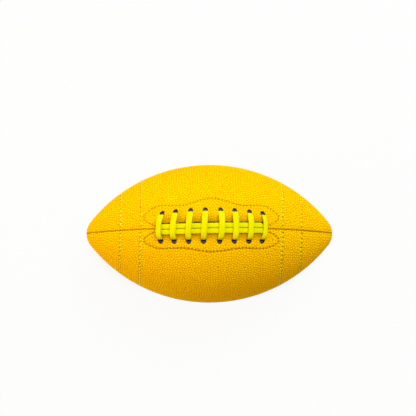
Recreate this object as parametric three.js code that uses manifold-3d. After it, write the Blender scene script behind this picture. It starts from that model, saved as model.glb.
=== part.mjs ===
import * as THREE from 'three';
import Module from 'manifold-3d';

const wasm = await Module();
wasm.setup();

// Outer shape, in millimetres: tip to tip, greatest diameter, rounding of both noses
const ballLength = 254;
const ballDiameter = 142;
const noseRadius = 20.5;
const tipOpening = 0.8;

// Wall layers from the outside in, and the clearance between any two of them
const coverThickness = 2.2;
const liningThickness = 1;
const facingThickness = 1.2;
const tongueThickness = 1.2;
const bladderThickness = 0.9;
const layerGap = 0.3;

// Seams: panel edges are rounded over and turned inwards as flanges
const seamHalfGap = 0.15;
const seamShoulder = 1.8;
const seamFlangeDepth = 5;
const seamFlangeThickness = 2.2;
const seamTipShare = 0.12;
const liningTipRadius = 8;

// Lacing: flat lace, its holes and the two strands that run along the slit
const crossCount = 8;
const crossPitch = 14.9;
const laceWidth = 6.2;
const laceThickness = 2.2;
const strandWidth = 5.6;
const laceFoldedWidth = 3.6;
const laceDiveWidth = 2.8;
const laceBend = 2.4;
const laceSlack = 0.6;
const laceSelfGap = 0.55;
const laceHoleClearance = 0.9;
const laceLegInset = 0.5;
const holeReachLeft = 18.7;
const holeReachLeftEnd = 15;
const holeReachRight = 13.9;
const holeReachRightEnd = 12.2;
const endCrossBow = 2;
const crossLean = 1.3;

// Slit between the two lace panels
const slitEdgeClearance = 0.7;
const slitEndClearance = 1.4;
const slitTaper = 5;
const slitEdgeRounding = 1;
const slitLipDepth = 0.5;
const slitLipThickness = 1.2;

// Facings behind the lace holes, and the tongue under the lacing
const facingMarginLeft = 5;
const facingMarginRight = 7.2;
const facingCrestLeft = 7.5;
const facingCrestRight = 4.2;
const facingEndMargin = 9.5;
const facingEndReach = 10.5;
const facingEdge = 4;
const tongueSideMargin = 3.3;
const tongueEndMargin = 1;

// Sewn rows that show on the outside, and the thread of the seams
const threadRadius = 0.45;
const threadGap = 0.35;
const stripeTipMargin = 33;
const stripeWidth = 20.6;
const stripeLean = 0.022;
const rowSeamMargin = 3;
const seamThreadRadius = 0.3;
const seamThreadDepth = 0.6;
const seamThreadTipMargin = 9;

// Inflation valve
const valveStemRadius = 3.2;
const valveFlangeRadius = 7;
const valveFlangeThickness = 1.6;
const valveBoreRadius = 1.4;
const valveRecess = 0.4;
const valveCoreRecess = 0.6;
const valveAngle = -0.75 * Math.PI;

// Depths below the outer surface that follow from the layers
const liningTop = coverThickness + layerGap;
const liningBottom = liningTop + liningThickness;
const facingTop = liningBottom + layerGap;
const facingBottom = facingTop + facingThickness;
const innerLaceDepth = facingBottom + layerGap + laceThickness / 2;
const tongueTop = innerLaceDepth + laceThickness / 2 + laceSlack;
const tongueBottom = tongueTop + tongueThickness;
const bladderTop = liningBottom + layerGap;
const bladderSeamTop = seamFlangeDepth + layerGap;
const bladderTongueTop = tongueBottom + layerGap;

// Heights above the outer surface at the lacing
const strandRise = layerGap + laceThickness / 2;
const crossRise = strandRise + laceThickness + laceSelfGap;

// Lengths along the ball that follow from the lacing
const crossEnd = 0.5 * (crossCount - 1) * crossPitch;
const diveLength = crossEnd + 0.7 * endCrossBow;
const slitOpenLength = diveLength + laceThickness / 2 + slitEndClearance;
const slitHalfLength = slitOpenLength + slitTaper;
const slitHalfWidth = laceSelfGap / 2 + laceDiveWidth + slitEdgeClearance;
const laceHoleRadius = laceFoldedWidth / 2 + laceHoleClearance;
const facingHalfLength = slitHalfLength + facingEndMargin;
const tongueHalfLength = slitHalfLength + tongueEndMargin;
const tongueHalfWidth = holeReachLeft + tongueSideMargin;
const stripeOuter = ballLength / 2 - stripeTipMargin;
const stripeInner = stripeOuter - stripeWidth;
const seamThreadEnd = ballLength / 2 - seamThreadTipMargin;

// Outline of the ball: a large arc along the belly that runs into a round nose
const beltRadius = ballDiameter / 2;
const noseCentre = ballLength / 2 - noseRadius;
const arcRadius = (noseCentre ** 2 + beltRadius ** 2 - noseRadius ** 2) / (2 * (beltRadius - noseRadius));
const joinAngle = Math.asin(noseCentre / (arcRadius - noseRadius));
const joinLength = arcRadius * Math.sin(joinAngle);
const quarterTurn = Math.PI / 2;
const facetsPerPanel = 8;
const facetAngle = quarterTurn / facetsPerPanel;
const cutterOverrun = 2;
const facetSwell = 1 + (2 / 3) * (1 - Math.cos(facetAngle / 2));

// Places along the ball where every layer has a section
const tipAngle = Math.acos(tipOpening / noseRadius);
const noseShares = [0.24, 0.48, 0.72, 1];

function nosePlace(share) {
  return noseCentre + noseRadius * Math.sin(joinAngle + share * (tipAngle - joinAngle));
}

const halfStations = [
  ...[0.074, 0.22, 0.345, 0.635, 0.77, 0.89, 1].map((share) => share * joinLength),
  ...noseShares.map((share) => nosePlace(share)),
  slitOpenLength,
  slitHalfLength,
].sort((a, b) => a - b);
const stations = [...halfStations.map((x) => -x).reverse(), ...halfStations];

function normalAngle(x) {
  const reach = Math.abs(x);
  const sine = reach < joinLength ? reach / arcRadius : (reach - noseCentre) / noseRadius;
  return Math.sign(x) * Math.asin(sine);
}

function outlineRadius(x) {
  const lean = Math.cos(normalAngle(x));
  return Math.abs(x) < joinLength ? beltRadius - arcRadius + arcRadius * lean : noseRadius * lean;
}

function facetShare(phi) {
  const turns = phi / facetAngle;
  const fromMiddle = turns - Math.floor(turns) - 0.5;
  return (facetSwell * Math.cos(facetAngle / 2)) / Math.cos(fromMiddle * facetAngle);
}

function stationPoint(x, phi, depth) {
  const lean = normalAngle(x);
  const radius = (outlineRadius(x) - depth * Math.cos(lean)) * facetShare(phi);
  const height = beltRadius + radius * Math.cos(phi);
  return new THREE.Vector3(x - depth * Math.sin(lean), radius * Math.sin(phi), height);
}

// A point of the faceted wall: phi turns from the lacing towards +Y, depth counts inwards
function wallPoint(x, phi, depth) {
  const found = stations.findIndex((station) => station >= x);
  const after = Math.max(1, found < 0 ? stations.length - 1 : found);
  const low = stations[after - 1];
  const share = (x - low) / (stations[after] - low);
  return stationPoint(low, phi, depth).lerp(stationPoint(stations[after], phi, depth), share);
}

function wallRadius(x, depth) {
  return wallPoint(x, 0, depth).z - beltRadius;
}

function offsetAngle(x, offset, depth) {
  return Math.asin(Math.min(0.95, offset / wallRadius(x, depth)));
}

function between(low, value, high) {
  return Math.min(high, Math.max(low, value));
}

function along(table, x) {
  const last = table.length - 1;
  const found = table.findIndex((row) => row[0] >= x);
  const after = found < 0 ? last : Math.max(1, found);
  const [x0, y0] = table[after - 1];
  const [x1, y1] = table[after];
  return y0 + (y1 - y0) * between(0, (x - x0) / (x1 - x0), 1);
}

function solidFrom(points, faces) {
  let volume = 0;
  faces.forEach(([a, b, c]) => {
    volume += points[a].dot(points[b].clone().cross(points[c]));
  });
  const turned = volume < 0 ? faces.map(([a, b, c]) => [a, c, b]) : faces;
  const vertProperties = new Float32Array(points.flatMap((point) => [point.x, point.y, point.z]));
  const triVerts = new Uint32Array(turned.flat());
  return new wasm.Manifold(new wasm.Mesh({ numProp: 3, vertProperties, triVerts }));
}

// End faces of a convex ring
function fanFaces(count) {
  const faces = [];
  for (let i = 1; i + 1 < count; i += 1) {
    faces.push([0, i, i + 1]);
  }
  return faces;
}

// End faces of a band: its outer edge comes first in the ring, then its inner edge back again
function bandFaces(outerCount, innerCount) {
  const faces = [];
  const inner = (i) => outerCount + innerCount - 1 - i;
  let near = 0;
  let far = 0;
  while (near + 1 < outerCount || far + 1 < innerCount) {
    const nearNext = near + 1 < outerCount ? (near + 1) / (outerCount - 1) : 2;
    const farNext = far + 1 < innerCount ? (far + 1) / (innerCount - 1) : 2;
    if (nearNext <= farNext) {
      faces.push([near, near + 1, inner(far)]);
      near += 1;
    } else {
      faces.push([near, inner(far + 1), inner(far)]);
      far += 1;
    }
  }
  return faces;
}

// A closed skin over rings of equal count, with the faces that close both ends
function loft(rings, ends) {
  const count = rings[0].length;
  const faces = [];
  for (let row = 0; row + 1 < rings.length; row += 1) {
    for (let spot = 0; spot < count; spot += 1) {
      const next = (spot + 1) % count;
      const near = row * count;
      const far = near + count;
      faces.push([near + spot, near + next, far + spot]);
      faces.push([near + next, far + next, far + spot]);
    }
  }
  const last = (rings.length - 1) * count;
  ends.forEach(([a, b, c]) => {
    faces.push([a, c, b]);
    faces.push([last + a, last + b, last + c]);
  });
  return solidFrom(rings.flat(), faces);
}

// A layer whose section at each place is a list of angles and depths
function wallLoft(places, section, ends) {
  return loft(places.map((x) => section(x).map(([phi, depth]) => wallPoint(x, phi, depth))), ends);
}

// A straight round cutter or plug along the wall's normal
function wallPlug(x, phi, radius, top, bottom, sides) {
  const start = wallPoint(x, phi, top);
  const end = wallPoint(x, phi, bottom);
  const axis = end.clone().sub(start).normalize();
  const right = new THREE.Vector3(1, 0, 0).addScaledVector(axis, -axis.x).normalize();
  const up = axis.clone().cross(right);
  const flat = [];
  for (let i = 0; i < sides; i += 1) {
    const turn = ((i + 0.5) / sides) * 2 * Math.PI;
    flat.push(new THREE.Vector2(radius * Math.cos(turn), radius * Math.sin(turn)));
  }
  const rings = [start, end].map((centre) => flat.map((spot) => {
    return centre.clone().addScaledVector(right, spot.x).addScaledVector(up, spot.y);
  }));
  return loft(rings, fanFaces(sides));
}

// A section carried along a path; every stop has a point, a tangent, a side direction and a flat shape
function ringsOf(path) {
  return path.map((stop) => {
    const side = stop.side.clone().addScaledVector(stop.tangent, -stop.side.dot(stop.tangent)).normalize();
    const rise = stop.tangent.clone().cross(side);
    return stop.flat.map((spot) => {
      return stop.point.clone().addScaledVector(side, spot.x).addScaledVector(rise, spot.y);
    });
  });
}

function sweep(path) {
  return loft(ringsOf(path), fanFaces(path[0].flat.length));
}

function direction(from, to) {
  return to.clone().sub(from).normalize();
}

// Stops joined by straight runs, with round bends at the stops that ask for one
function bentPath(stops) {
  return stops.flatMap((stop, i) => {
    const into = direction(stops[Math.max(0, i - 1)].point, stops[Math.max(1, i)].point);
    const last = stops.length - 1;
    const out = direction(stops[Math.min(last - 1, i)].point, stops[Math.min(last, i + 1)].point);
    if (!stop.bend) {
      return [{ ...stop, tangent: into.add(out).normalize() }];
    }
    const turn = into.angleTo(out);
    const room = Math.min(...[stops[i - 1], stops[i + 1]].map((other) => stop.point.distanceTo(other.point)));
    const reach = Math.min(stop.bend * Math.tan(turn / 2), 0.48 * room);
    const radius = reach / Math.tan(turn / 2);
    const start = stop.point.clone().addScaledVector(into, -reach);
    const inward = out.clone().addScaledVector(into, -out.dot(into)).normalize();
    const bend = [];
    for (let step = 0; step <= stop.steps; step += 1) {
      const angle = (turn * step) / stop.steps;
      const point = start.clone();
      point.addScaledVector(into, radius * Math.sin(angle));
      point.addScaledVector(inward, radius * (1 - Math.cos(angle)));
      const tangent = into.clone().multiplyScalar(Math.cos(angle)).addScaledVector(inward, Math.sin(angle));
      bend.push({ ...stop, point, tangent });
    }
    return bend;
  });
}

// Seam edges: how far each layer stays from the seam plane
function isSlit(x) {
  return Math.abs(x) < slitHalfLength;
}

function slitShare(x) {
  return between(0, (slitHalfLength - Math.abs(x)) / slitTaper, 1);
}

function edgeOf(x, laced) {
  const tipLimit = seamTipShare * outlineRadius(x);
  const edge = {
    gap: seamHalfGap,
    shoulder: Math.min(seamShoulder, tipLimit),
    depth: seamFlangeDepth,
    thickness: Math.min(seamFlangeThickness, tipLimit),
  };
  if (!laced || !isSlit(x)) {
    return edge;
  }
  const share = slitShare(x);
  return {
    gap: THREE.MathUtils.lerp(edge.gap, slitHalfWidth, share),
    shoulder: THREE.MathUtils.lerp(edge.shoulder, slitEdgeRounding, share),
    depth: THREE.MathUtils.lerp(edge.depth, coverThickness + slitLipDepth, share),
    thickness: THREE.MathUtils.lerp(edge.thickness, slitLipThickness, share),
  };
}

function liningEdge(x, laced) {
  const edge = edgeOf(x, laced);
  return edge.gap + edge.thickness + layerGap;
}

// Angles of the facet lines of one panel, kept clear of its two edges
function facetLines(start, startEdge, endEdge) {
  const lines = [];
  const step = 0.02;
  for (let i = 1; i < facetsPerPanel; i += 1) {
    const low = startEdge + i * step;
    const high = quarterTurn - endEdge - (facetsPerPanel - i) * step;
    lines.push(start + between(low, i * facetAngle, high));
  }
  return lines;
}

// Rounded rim of a panel edge, from the seam up to the outer surface
function rimPoints(edge) {
  return [quarterTurn, quarterTurn / 2, 0].map((turn) => {
    return [edge.gap + edge.shoulder * (1 - Math.sin(turn)), edge.shoulder * (1 - Math.cos(turn))];
  });
}

function panelSection(x, start, startLaced, endLaced) {
  const end = start + quarterTurn;
  const first = edgeOf(x, startLaced);
  const final = edgeOf(x, endLaced);
  const fromStart = ([offset, depth]) => [start + offsetAngle(x, offset, depth), depth];
  const fromEnd = ([offset, depth]) => [end - offsetAngle(x, offset, depth), depth];
  const outerStart = offsetAngle(x, first.gap + first.shoulder, 0);
  const outerEnd = offsetAngle(x, final.gap + final.shoulder, 0);
  const innerStart = offsetAngle(x, first.gap + first.thickness, coverThickness);
  const innerEnd = offsetAngle(x, final.gap + final.thickness, coverThickness);
  return [
    fromStart([first.gap, first.depth]),
    ...rimPoints(first).map(fromStart),
    ...facetLines(start, outerStart, outerEnd).map((phi) => [phi, 0]),
    ...rimPoints(final).reverse().map(fromEnd),
    fromEnd([final.gap, final.depth]),
    fromEnd([final.gap + final.thickness, final.depth]),
    fromEnd([final.gap + final.thickness, coverThickness]),
    ...facetLines(start, innerStart, innerEnd).reverse().map((phi) => [phi, coverThickness]),
    fromStart([first.gap + first.thickness, coverThickness]),
    fromStart([first.gap + first.thickness, first.depth]),
  ];
}

function liningSection(x, start, startLaced, endLaced) {
  const first = offsetAngle(x, liningEdge(x, startLaced), liningBottom);
  const final = offsetAngle(x, liningEdge(x, endLaced), liningBottom);
  const angles = [start + first, ...facetLines(start, first, final), start + quarterTurn - final];
  const outer = angles.map((phi) => [phi, liningTop]);
  const inner = angles.map((phi) => [phi, liningBottom]).reverse();
  return [...outer, ...inner];
}

// A thin layer between two angles, with a vertex on every facet line it crosses
function bandSection(low, high, lines, top, bottom) {
  const step = 0.004;
  const count = lines.length + 1;
  const inside = lines.map((line, i) => between(low + (i + 1) * step, line, high - (count - i - 1) * step));
  const angles = [low, ...inside, high];
  return [...angles.map((phi) => [phi, top]), ...angles.map((phi) => [phi, bottom]).reverse()];
}

function placesWithin(reach, extras) {
  const inside = stations.filter((x) => Math.abs(x) < reach - 0.5);
  return [...new Set([-reach, ...inside, ...extras, reach])].sort((a, b) => a - b);
}

// Lace holes: places along the ball and angles to each side of the seam
const crossPlaces = [];
for (let i = 0; i < crossCount; i += 1) {
  crossPlaces.push(i * crossPitch - crossEnd);
}

function holePlace(index, sign) {
  return crossPlaces[index] + 0.5 * sign * crossLean;
}

function holeReach(x, sign) {
  const [middle, end] = sign > 0 ? [holeReachLeft, holeReachLeftEnd] : [holeReachRight, holeReachRightEnd];
  return THREE.MathUtils.lerp(middle, end, (x / crossEnd) ** 2);
}

function holeAngle(x, sign) {
  return sign * offsetAngle(x, holeReach(x, sign), 0);
}

// The lace pulls against the side of its hole that is nearer the slit
function legAngle(x, sign) {
  return sign * offsetAngle(x, holeReach(x, sign) - laceLegInset, 0);
}

function punchLaceHoles(solid, sign) {
  const bottom = facingBottom + cutterOverrun;
  return crossPlaces.reduce((left, cross, index) => {
    const x = holePlace(index, sign);
    return left.subtract(wallPlug(x, holeAngle(x, sign), laceHoleRadius, -cutterOverrun, bottom, 8));
  }, solid);
}

// Valve hole through cover and lining
const valveHoleRadius = valveStemRadius + layerGap;

function punchValveHole(solid, bottom) {
  return solid.subtract(wallPlug(0, valveAngle, valveHoleRadius, -cutterOverrun, bottom, 12));
}

// Facing outline: width on each side of the seam along the ball
const facingEnd = facingHalfLength + facingEdge;

function facingShape(sign) {
  const left = { shoulder: holeReachLeft + facingMarginLeft, crest: facingCrestLeft };
  const right = { shoulder: holeReachRight + facingMarginRight, crest: facingCrestRight };
  return sign > 0 ? left : right;
}

function facingOuter(sign) {
  const { shoulder, crest } = facingShape(sign);
  return [
    [0, shoulder + crest + facingEdge],
    [0.4 * facingHalfLength, shoulder + facingEdge],
    [0.77 * facingHalfLength, shoulder + facingEdge],
    [facingHalfLength, facingEndReach + 2 * facingEdge],
    [facingEnd, facingEndReach + 0.4 * facingEdge],
  ];
}

function facingSection(x, sign) {
  const reach = Math.abs(x);
  const past = between(0, (reach - slitHalfLength) / (facingEnd - slitHalfLength), 1);
  const inner = THREE.MathUtils.lerp(liningEdge(x, true), facingEndReach - 0.4 * facingEdge, past);
  const low = offsetAngle(x, inner, facingTop);
  const high = offsetAngle(x, along(facingOuter(sign), reach), facingTop);
  const lines = [1, 2, 3].map((i) => i * facetAngle);
  return bandSection(low, high, lines, facingTop, facingBottom).map(([phi, depth]) => [sign * phi, depth]);
}

function tongueSection(x) {
  const half = offsetAngle(x, tongueHalfWidth, tongueBottom);
  const lines = [-2, -1, 0, 1, 2].map((i) => i * facetAngle);
  return bandSection(-half, half, lines, tongueTop, tongueBottom);
}

// Bladder: pressed out against the linings, dented by the seam flanges and by the tongue
const dentAngle = offsetAngle(tongueHalfLength, tongueHalfWidth, tongueBottom) + 0.03;
const facingAngle = Math.max(
  offsetAngle(0, facingOuter(1)[0][1], facingTop),
  offsetAngle(0.77 * facingHalfLength, facingOuter(1)[2][1], facingTop),
  dentAngle,
) + 0.09;
const dentEnd = tongueHalfLength + 1;
const facingClear = facingEnd + 1;
const bladderEnd = nosePlace(noseShares[1]);

function bladderSeamAngles(x) {
  const radius = wallRadius(x, bladderSeamTop);
  const edge = edgeOf(x, false);
  const inner = Math.asin(Math.min(0.35, (edge.gap + edge.thickness + 0.5) / radius));
  const outer = Math.asin(Math.min(0.45, (edge.gap + edge.thickness + 3.5) / radius));
  return { inner, outer };
}

function bladderSection(x, inset) {
  const { inner, outer } = bladderSeamAngles(x);
  const reach = Math.abs(x);
  const nose = reach > 0.95 * joinLength;
  const flat = nose ? bladderSeamTop : bladderTop;
  const lacing = along([
    [dentEnd, bladderTongueTop],
    [facingClear, facingBottom + 2 * layerGap],
    [facingClear + facingEnd / 4, flat],
  ], reach);
  const quarter = [
    [inner, Math.max(bladderSeamTop, lacing)],
    [Math.max(outer, 0.12), Math.max(flat, lacing)],
    [Math.max(outer + 0.05, dentAngle), Math.max(flat, lacing)],
    [Math.max(outer + 0.1, facingAngle), flat],
    [Math.max(outer + 0.15, 0.7 * quarterTurn), flat],
    [quarterTurn - outer, flat],
    [quarterTurn - inner, bladderSeamTop],
  ];
  const base = [
    [inner, bladderSeamTop],
    [outer, flat],
    [THREE.MathUtils.lerp(outer, quarterTurn - outer, 1 / 3), flat],
    [THREE.MathUtils.lerp(outer, quarterTurn - outer, 2 / 3), flat],
    [quarterTurn - outer, flat],
    [quarterTurn - inner, bladderSeamTop],
  ];
  const left = [...quarter, ...base.map(([phi, depth]) => [phi + quarterTurn, depth])];
  const right = left.map(([phi, depth]) => [-phi, depth]).reverse();
  return [...left, ...right].map(([phi, depth]) => [phi, depth + inset]);
}

const coarsePlaces = halfStations.filter((x, i) => x < bladderEnd && i % 2 === 0);
const bladderPlaces = [...new Set([...coarsePlaces, slitHalfLength, dentEnd, facingClear, bladderEnd])]
  .sort((a, b) => a - b)
  .flatMap((x) => [-x, x])
  .sort((a, b) => a - b);

function bladderSkin(inset) {
  const count = bladderSection(0, inset).length;
  return wallLoft(bladderPlaces, (x) => bladderSection(x, inset), fanFaces(count));
}

// Lace: one length, laced in a spiral, its two ends laid back along the slit under the crosses
function lengthwise(x, phi) {
  return direction(wallPoint(x - 0.5, phi, 0), wallPoint(x + 0.5, phi, 0));
}

function laceFlat(width) {
  const a = width / 2;
  const b = laceThickness / 2;
  const cut = 0.6 * b;
  return [
    [a, cut - b],
    [a, b - cut],
    [a - cut, b],
    [cut - a, b],
    [-a, b - cut],
    [-a, cut - b],
    [cut - a, -b],
    [a - cut, -b],
  ].map(([x, y]) => new THREE.Vector2(x, y));
}

function laceStop(point, width, side, bend, steps) {
  return { point, side, bend, steps, flat: laceFlat(width) };
}

function crossStops(index) {
  const middle = crossPlaces[index];
  const ending = index === 0 || index === crossCount - 1;
  const bowed = middle + (ending ? Math.sign(middle) * endCrossBow : 0);
  const strandEdge = laceSelfGap + strandWidth + layerGap;
  const half = [-1, 1].map((sign) => {
    const x = holePlace(index, sign);
    const phi = legAngle(x, sign);
    const side = lengthwise(x, phi);
    const foot = wallPoint(x, phi, innerLaceDepth);
    const mouth = wallPoint(x, phi, -strandRise);
    const crown = wallPoint(bowed, sign * offsetAngle(bowed, strandEdge, 0), -crossRise);
    const flare = mouth.clone().lerp(crown, Math.min(0.6, (laceBend + 2) / mouth.distanceTo(crown)));
    return [
      laceStop(foot, laceFoldedWidth, side, laceBend, 2),
      laceStop(mouth, laceFoldedWidth, side, laceBend, 3),
      laceStop(flare, laceWidth, side, 0, 0),
      laceStop(crown, laceWidth, side, 0, 0),
    ];
  });
  const top = laceStop(wallPoint(bowed, 0, -crossRise - 0.1), laceWidth, lengthwise(bowed, 0), 0, 0);
  return [...half[0], top, ...half[1].reverse()];
}

function innerRun(index) {
  const from = holePlace(index, 1);
  const to = holePlace(index + 1, -1);
  return [1 / 3, 1 / 2, 2 / 3].map((share) => {
    const x = THREE.MathUtils.lerp(from, to, share);
    const phi = THREE.MathUtils.lerp(legAngle(from, 1), legAngle(to, -1), share);
    return laceStop(wallPoint(x, phi, innerLaceDepth), laceFoldedWidth + 1, lengthwise(x, phi), 0, 0);
  });
}

// One end of the lace: along the slit on one side, then down through the slit at the far cross
function tailStops(sign) {
  const strandOffset = (laceSelfGap + strandWidth) / 2;
  const diveOffset = (laceSelfGap + laceDiveWidth) / 2;
  const dive = sign * diveLength;
  const wideEnd = crossEnd - laceWidth / 2 - 2 * layerGap;
  const runs = stations.filter((x) => Math.abs(x) < wideEnd - 1);
  const places = [-sign * crossEnd, ...(sign > 0 ? runs : runs.reverse()), sign * wideEnd];
  const across = (phi) => new THREE.Vector3(0, Math.cos(phi), -Math.sin(phi));
  const strand = places.map((x) => {
    const phi = sign * offsetAngle(x, strandOffset, 0);
    return laceStop(wallPoint(x, phi, -strandRise), strandWidth, across(phi), 0, 0);
  });
  const phi = sign * offsetAngle(dive, diveOffset, 0);
  const side = (turn) => {
    return across(phi).multiplyScalar(Math.cos(turn)).addScaledVector(lengthwise(dive, phi), Math.sin(turn));
  };
  const drop = [
    [-strandRise, 0, laceBend],
    [0.45 * innerLaceDepth - 1.2, quarterTurn / 3, 0],
    [0.45 * innerLaceDepth + 0.2, (2 * quarterTurn) / 3, 0],
    [innerLaceDepth, quarterTurn, laceBend],
  ].map(([depth, turn, bend]) => laceStop(wallPoint(dive, phi, depth), laceDiveWidth, side(turn), bend, 3));
  return [...strand, ...drop];
}

const laceStops = [...tailStops(-1)];
for (let i = 0; i < crossCount; i += 1) {
  laceStops.push(...crossStops(i));
  if (i + 1 < crossCount) {
    laceStops.push(...innerRun(i));
  }
}
laceStops.push(...tailStops(1).reverse());
const lacePath = bentPath(laceStops);

// Least gap between runs of the lace that are far apart along it, on points of its edges
function leastSelfGap(path) {
  const step = 0.4;
  const apart = 5 * laceThickness;
  const cellSize = 2 * laceThickness;
  const cells = new Map();
  const rings = ringsOf(path);
  const samples = [];
  let travelled = 0;
  for (let i = 0; i + 1 < rings.length; i += 1) {
    const run = path[i].point.distanceTo(path[i + 1].point);
    const count = Math.ceil(run / step);
    for (let k = 0; k < count; k += 1) {
      const place = travelled + (run * k) / count;
      rings[i].forEach((corner, j) => {
        samples.push({ place, point: corner.clone().lerp(rings[i + 1][j], k / count) });
      });
    }
    travelled += run;
  }
  const cellOf = (value) => Math.floor(value / cellSize);
  samples.forEach((sample) => {
    const key = [sample.point.x, sample.point.y, sample.point.z].map(cellOf).join();
    cells.set(key, [...(cells.get(key) ?? []), sample]);
  });
  let least = Infinity;
  cells.forEach((group, key) => {
    const [cx, cy, cz] = key.split(',').map(Number);
    for (let n = 0; n < 27; n += 1) {
      const near = [cx + (n % 3) - 1, cy + (Math.floor(n / 3) % 3) - 1, cz + Math.floor(n / 9) - 1].join();
      (cells.get(near) ?? []).forEach((other) => group.forEach((sample) => {
        if (Math.abs(sample.place - other.place) > apart) {
          least = Math.min(least, sample.point.distanceTo(other.point));
        }
      }));
    }
  });
  return least;
}

console.log(`least gap of the lace to itself: ${leastSelfGap(lacePath).toFixed(2)} mm`);

// Sewn rows, each a thread laid along the surface
function threadSolid(spots, radius, depth) {
  const points = spots.map(([x, phi]) => wallPoint(x, phi, depth));
  const flat = [];
  for (let i = 0; i < 5; i += 1) {
    const turn = (i / 5) * 2 * Math.PI;
    flat.push(new THREE.Vector2(radius * Math.cos(turn), radius * Math.sin(turn)));
  }
  const stops = points.map((point, i) => {
    const phi = spots[i][1];
    return { point, flat, bend: 0, side: new THREE.Vector3(0, Math.sin(phi), Math.cos(phi)) };
  });
  return sweep(bentPath(stops));
}

function surfaceThread(spots) {
  return threadSolid(spots, threadRadius, -threadGap - threadRadius);
}

function stripeRow(x, sign) {
  const edge = offsetAngle(x, seamHalfGap + seamShoulder + rowSeamMargin, 0);
  const angles = [edge, ...facetLines(0, edge, edge), quarterTurn - edge];
  const lean = sign * stripeLean * outlineRadius(x);
  return surfaceThread(angles.map((phi) => [x + lean * Math.sin(phi), sign * phi]));
}

// Thread of a seam, in the valley between the rolled edges of two panels
function seamThread(phi, from, to) {
  const places = [from, ...stations.filter((x) => x > from + 1 && x < to - 1), to];
  return threadSolid(places.map((x) => [x, phi]), seamThreadRadius, seamThreadDepth);
}

function facingRow(sign) {
  const { shoulder, crest } = facingShape(sign);
  const half = [
    [slitHalfLength, seamHalfGap + seamShoulder + threadRadius + layerGap],
    [facingHalfLength - 3, 0.55 * facingEndReach],
    [facingHalfLength, facingEndReach],
    [facingHalfLength - 4, 0.5 * (facingEndReach + shoulder)],
    [0.77 * facingHalfLength, shoulder],
    [0.4 * facingHalfLength, shoulder],
  ];
  const corners = [
    ...half.map(([x, reach]) => new THREE.Vector2(-x, reach)),
    new THREE.Vector2(0, shoulder + crest),
    ...half.map(([x, reach]) => new THREE.Vector2(x, reach)).reverse(),
  ];
  const curve = new THREE.SplineCurve(corners);
  const spots = curve.getSpacedPoints(31).map((spot) => [spot.x, sign * offsetAngle(spot.x, spot.y, 0)]);
  return surfaceThread(spots);
}

// Valve: a rubber body with a flange inside the bladder, and a plug with the needle channel's seat
const bladderFloorShare = Math.cos((quarterTurn - 2 * bladderSeamAngles(0).outer) / 6);
const bladderFloor = beltRadius - (beltRadius - bladderTop - bladderThickness) * bladderFloorShare;
const valveFlangeTop = bladderFloor + 2 * layerGap;
const valveBottom = valveFlangeTop + valveFlangeThickness;
const valveCoreRadius = valveBoreRadius - layerGap;

function valveBody() {
  const stem = wallPlug(0, valveAngle, valveStemRadius, valveRecess, valveBottom, 20);
  const flange = wallPlug(0, valveAngle, valveFlangeRadius, valveFlangeTop, valveBottom, 20);
  const bore = wallPlug(0, valveAngle, valveBoreRadius, -cutterOverrun, valveBottom + cutterOverrun, 12);
  return stem.add(flange).subtract(bore);
}

const group = new THREE.Group();
group.name = 'american_football';

function addPiece(name, solid, color, roughness) {
  const data = solid.getMesh();
  const geometry = new THREE.BufferGeometry();
  geometry.setAttribute('position', new THREE.BufferAttribute(new Float32Array(data.vertProperties), 3));
  geometry.setIndex(new THREE.BufferAttribute(new Uint32Array(data.triVerts), 1));
  geometry.computeVertexNormals();
  const mesh = new THREE.Mesh(geometry, new THREE.MeshStandardMaterial({ color, roughness, metalness: 0 }));
  mesh.name = name;
  group.add(mesh);
}

const coverColor = 0xf6ca05;
const liningColor = 0xe6dfc8;
const facingColor = 0x35353f;
const laceColor = 0xf2ee16;
const threadColor = 0xd6dc28;
const rubberColor = 0x26262a;

const liningPlaces = stations.filter((x) => outlineRadius(x) >= liningTipRadius - 0.01);
const quarters = [
  { name: 'lace_left', start: 0, startLaced: true, endLaced: false, sign: 1 },
  { name: 'lace_right', start: -quarterTurn, startLaced: false, endLaced: true, sign: -1 },
  { name: 'base_left', start: quarterTurn, startLaced: false, endLaced: false, sign: 0 },
  { name: 'base_right', start: -2 * quarterTurn, startLaced: false, endLaced: false, sign: 0 },
];

quarters.forEach(({ name, start, startLaced, endLaced, sign }) => {
  const lines = facetsPerPanel - 1;
  const panelEnds = bandFaces(lines + 8, lines + 4);
  const liningEnds = bandFaces(lines + 2, lines + 2);
  let panel = wallLoft(stations, (x) => panelSection(x, start, startLaced, endLaced), panelEnds);
  let lining = wallLoft(liningPlaces, (x) => liningSection(x, start, startLaced, endLaced), liningEnds);
  if (sign) {
    panel = punchLaceHoles(panel, sign);
    lining = punchLaceHoles(lining, sign);
  }
  if (name === 'base_right') {
    panel = punchValveHole(panel, liningBottom + cutterOverrun);
    lining = punchValveHole(lining, liningBottom + cutterOverrun);
  }
  addPiece(`panel_${name}`, panel, coverColor, 0.55);
  addPiece(`lining_${name}`, lining, liningColor, 0.9);
});

[['left', 1], ['right', -1]].forEach(([side, sign]) => {
  const bends = [0.4, 0.77, 1].flatMap((share) => [-share * facingHalfLength, share * facingHalfLength]);
  const places = placesWithin(facingEnd, [0, ...bends]);
  const facing = punchLaceHoles(wallLoft(places, (x) => facingSection(x, sign), bandFaces(5, 5)), sign);
  addPiece(`facing_${side}`, facing, facingColor, 0.85);
  addPiece(`thread_facing_${side}`, facingRow(sign), threadColor, 0.7);
  [-stripeOuter, -stripeInner, stripeInner, stripeOuter].forEach((x, i) => {
    addPiece(`thread_stripe_${side}_${i + 1}`, stripeRow(x, sign), threadColor, 0.7);
  });
});

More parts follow.
